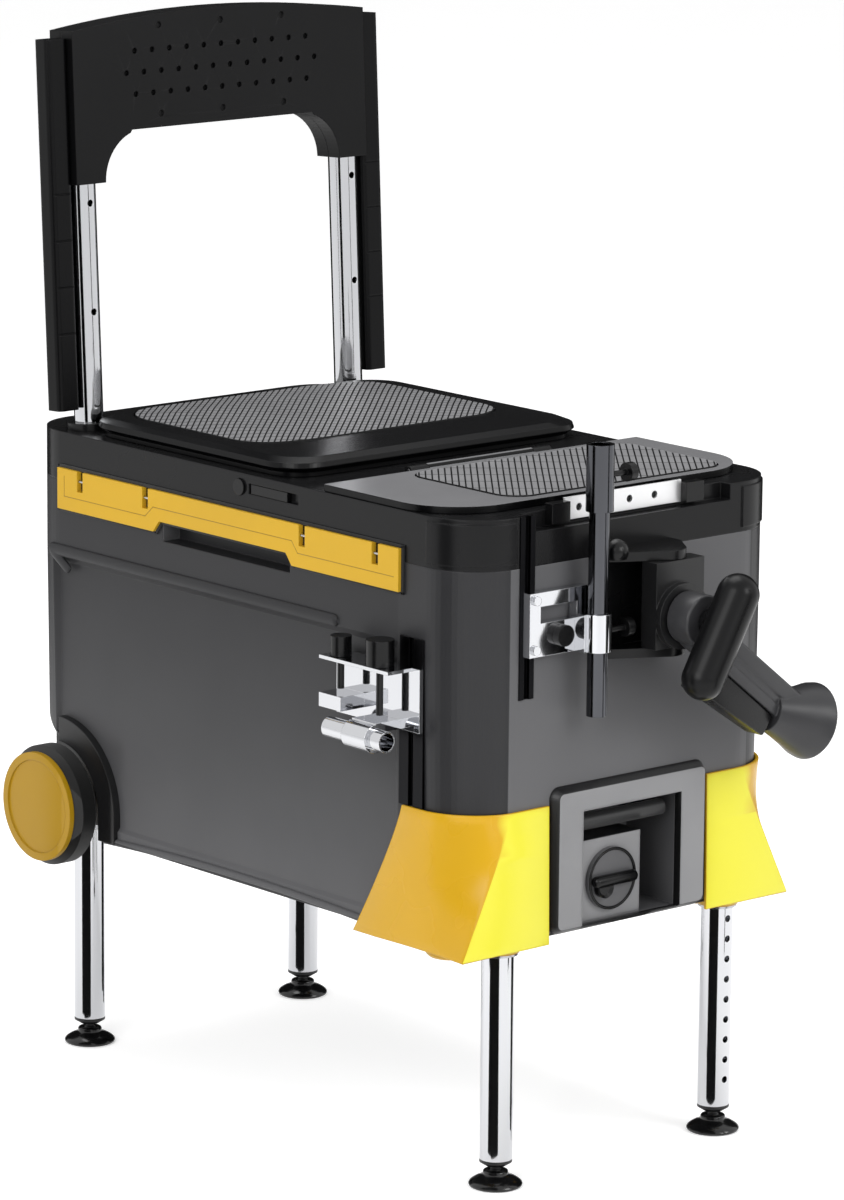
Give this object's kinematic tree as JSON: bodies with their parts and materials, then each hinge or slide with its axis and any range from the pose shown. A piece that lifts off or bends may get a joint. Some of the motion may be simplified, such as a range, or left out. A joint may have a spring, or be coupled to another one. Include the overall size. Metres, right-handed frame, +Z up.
{
  "type": "fishing seat box",
  "caption": "Moulded tackle box on telescopic legs with swivel feet, seat lids, wheels, a backrest and clamps for a rod rest.",
  "frame": {"origin": "on the ground under the middle of the bounding box", "axes": "+Z up, -Y the front end with the rod rest, +X to the right seen from the front"},
  "size_m": [0.431, 0.7182, 0.9383],
  "materials": {
    "tub_plastic": "fine moulded grain",
    "ring_plastic": "satin black",
    "lid_plastic": "satin dark grey",
    "pad_texture": "woven texture",
    "yellow_plastic": "smooth yellow",
    "hub_plastic": "smooth yellow",
    "black_plastic": "satin black",
    "grip_plastic": "soft satin",
    "arm_plastic": "satin grey",
    "back_plastic": "satin charcoal",
    "foot_rubber": "matt",
    "tyre_rubber": "matt",
    "rail_metal": "black anodised",
    "bright_steel": "bright",
    "bright_tube": "polished"
  },
  "bodies": {
    "box": {"tub": "tub_plastic", "seat_ring": "ring_plastic", "hinge_pins": "bright_steel", "front_strip": "bright_steel", "strip_blocks": "black_plastic", "side_trims": "yellow_plastic", "trim_hooks": "bright_steel", "corner_guards": "yellow_plastic", "front_surround": "black_plastic", "rails": "rail_metal", "wheel_liners": "black_plastic", "stub_axles": "bright_steel", "leg_sleeves": "black_plastic", "back_sockets": "black_plastic", "clamp_frame": "bright_tube", "clamp_bolts": "bright_steel", "post_collar": "bright_tube", "rod_bracket": "black_plastic", "side_bracket": "bright_tube", "side_tube": "bright_tube"},
    "rear_lid": {"rear_lid": "lid_plastic", "rear_pad": "pad_texture"},
    "front_lid": {"front_lid": "lid_plastic", "front_pad": "pad_texture"},
    "latch_button": {"latch_button": "black_plastic"},
    "latch_tab": {"latch_tab": "black_plastic"},
    "lock_knob": {"lock_knob": "black_plastic"},
    "tow_handle": {"tow_grip": "black_plastic", "tow_rods": "bright_steel"},
    "wheel_left": {"tyre_left": "tyre_rubber", "hub_left": "hub_plastic"},
    "wheel_right": {"tyre_right": "tyre_rubber", "hub_right": "hub_plastic"},
    "backrest": {"back_front_shell": "back_plastic", "back_rear_shell": "back_plastic", "back_wings": "back_plastic", "back_tubes": "bright_tube"},
    "clamp_knob": {"clamp_knob": "black_plastic"},
    "post": {"post_tube": "bright_tube"},
    "post_sleeve": {"post_sleeve": "bright_tube"},
    "collar_screw": {"collar_screw": "black_plastic"},
    "sleeve_screw": {"sleeve_screw": "black_plastic"},
    "rod_head": {"rod_head": "black_plastic"},
    "rod_arm": {"rod_arm": "arm_plastic", "rod_block": "black_plastic"},
    "lock_handle": {"lock_handle": "grip_plastic"},
    "side_knob_front": {"side_knob_front": "black_plastic"},
    "side_knob_rear": {"side_knob_rear": "black_plastic"},
    "leg_front_left": {"leg_front_left": "bright_tube", "cap_front_left": "black_plastic"},
    "foot_front_left": {"foot_front_left": "foot_rubber"},
    "leg_front_right": {"leg_front_right": "bright_tube", "cap_front_right": "black_plastic"},
    "foot_front_right": {"foot_front_right": "foot_rubber"},
    "leg_rear_left": {"leg_rear_left": "bright_tube", "cap_rear_left": "black_plastic"},
    "foot_rear_left": {"foot_rear_left": "foot_rubber"},
    "leg_rear_right": {"leg_rear_right": "bright_tube", "cap_rear_right": "black_plastic"},
    "foot_rear_right": {"foot_rear_right": "foot_rubber"}
  },
  "joints": [
    {"name": "rear_lid_hinge", "type": "hinge", "parent": "box", "child": "rear_lid", "pos_m": [0.1825, 0.13715, 0.5798], "axis": [0, 1, 0], "range_deg": [0, 95]},
    {"name": "front_lid_hinge", "type": "hinge", "parent": "box", "child": "front_lid", "pos_m": [0.0085, -0.05085, 0.5798], "axis": [-1, 0, 0], "range_deg": [0, 95]},
    {"name": "latch_press", "type": "slide", "parent": "box", "child": "latch_button", "axis": [1, 0, 0], "range_m": [0, 0.003], "stiffness_N_per_m": 400, "springref_m": -0.002},
    {"name": "latch_slide", "type": "slide", "parent": "box", "child": "latch_tab", "axis": [0, -1, 0], "range_m": [0, 0.012]},
    {"name": "lock_turn", "type": "hinge", "parent": "box", "child": "lock_knob", "pos_m": [-0.0085, -0.24085, 0.253], "axis": [0, -1, 0], "range_deg": [0, 90]},
    {"name": "tow_handle_slide", "type": "slide", "parent": "box", "child": "tow_handle", "axis": [0, -1, 0], "range_m": [0, 0.16]},
    {"name": "wheel_left_spin", "type": "hinge", "parent": "box", "child": "wheel_left", "pos_m": [-0.1805, 0.30515, 0.238], "axis": [1, 0, 0], "continuous": true},
    {"name": "wheel_right_spin", "type": "hinge", "parent": "box", "child": "wheel_right", "pos_m": [0.1975, 0.30515, 0.238], "axis": [1, 0, 0], "continuous": true},
    {"name": "leg_front_left_slide", "type": "slide", "parent": "box", "child": "leg_front_left", "axis": [0, 0, 1], "range_m": [0, 0.15]},
    {"name": "foot_front_left_tilt", "type": "hinge", "parent": "leg_front_left", "child": "foot_front_left", "pos_m": [-0.1175, -0.22385, 0.0105], "axis": [1, 0, 0], "range_deg": [-12, 12]},
    {"name": "leg_front_right_slide", "type": "slide", "parent": "box", "child": "leg_front_right", "axis": [0, 0, 1], "range_m": [0, 0.15]},
    {"name": "foot_front_right_tilt", "type": "hinge", "parent": "leg_front_right", "child": "foot_front_right", "pos_m": [0.1345, -0.22385, 0.0105], "axis": [1, 0, 0], "range_deg": [-12, 12]},
    {"name": "leg_rear_left_slide", "type": "slide", "parent": "box", "child": "leg_rear_left", "axis": [0, 0, 1], "range_m": [0, 0.15]},
    {"name": "foot_rear_left_tilt", "type": "hinge", "parent": "leg_rear_left", "child": "foot_rear_left", "pos_m": [-0.1175, 0.33315, 0.0105], "axis": [1, 0, 0], "range_deg": [-12, 12]},
    {"name": "leg_rear_right_slide", "type": "slide", "parent": "box", "child": "leg_rear_right", "axis": [0, 0, 1], "range_m": [0, 0.15]},
    {"name": "foot_rear_right_tilt", "type": "hinge", "parent": "leg_rear_right", "child": "foot_rear_right", "pos_m": [0.1345, 0.33315, 0.0105], "axis": [1, 0, 0], "range_deg": [-12, 12]},
    {"name": "backrest_slide", "type": "slide", "parent": "box", "child": "backrest", "axis": [0, 0.0523, 0.9986], "range_m": [0, 0.094]},
    {"name": "clamp_knob_turn", "type": "hinge", "parent": "box", "child": "clamp_knob", "pos_m": [-0.0795, -0.25385, 0.474], "axis": [0, -1, 0], "range_deg": [-180, 180]},
    {"name": "post_slide", "type": "slide", "parent": "box", "child": "post", "axis": [0, 0, 1], "range_m": [-0.04, 0.04]},
    {"name": "post_sleeve_turn", "type": "hinge", "parent": "post", "child": "post_sleeve", "pos_m": [-0.0485, -0.26563, 0.6], "axis": [0, 0, 1], "range_deg": [-150, 20]},
    {"name": "collar_screw_turn", "type": "hinge", "parent": "box", "child": "collar_screw", "pos_m": [-0.0215, -0.26563, 0.474], "axis": [1, 0, 0], "range_deg": [-180, 180]},
    {"name": "sleeve_screw_turn", "type": "hinge", "parent": "post_sleeve", "child": "sleeve_screw", "pos_m": [-0.0215, -0.26563, 0.605], "axis": [1, 0, 0], "range_deg": [-180, 180]},
    {"name": "rod_head_turn", "type": "hinge", "parent": "box", "child": "rod_head", "pos_m": [0.0245, -0.26885, 0.492], "axis": [0, 0, 1], "range_deg": [-30, 6]},
    {"name": "rod_arm_turn", "type": "hinge", "parent": "rod_head", "child": "rod_arm", "pos_m": [0.0245, -0.30585, 0.482], "axis": [0, 1, 0], "range_deg": [-45, 18]},
    {"name": "lock_handle_turn", "type": "hinge", "parent": "rod_head", "child": "lock_handle", "pos_m": [0.0245, -0.33285, 0.482], "axis": [0, 1, 0], "range_deg": [-60, 60]},
    {"name": "side_knob_front_turn", "type": "hinge", "parent": "box", "child": "side_knob_front", "pos_m": [-0.1905, -0.15485, 0.45], "axis": [0, 0, 1], "range_deg": [-180, 180]},
    {"name": "side_knob_rear_turn", "type": "hinge", "parent": "box", "child": "side_knob_rear", "pos_m": [-0.1905, -0.10485, 0.45], "axis": [0, 0, 1], "range_deg": [-180, 180]}
  ]
}
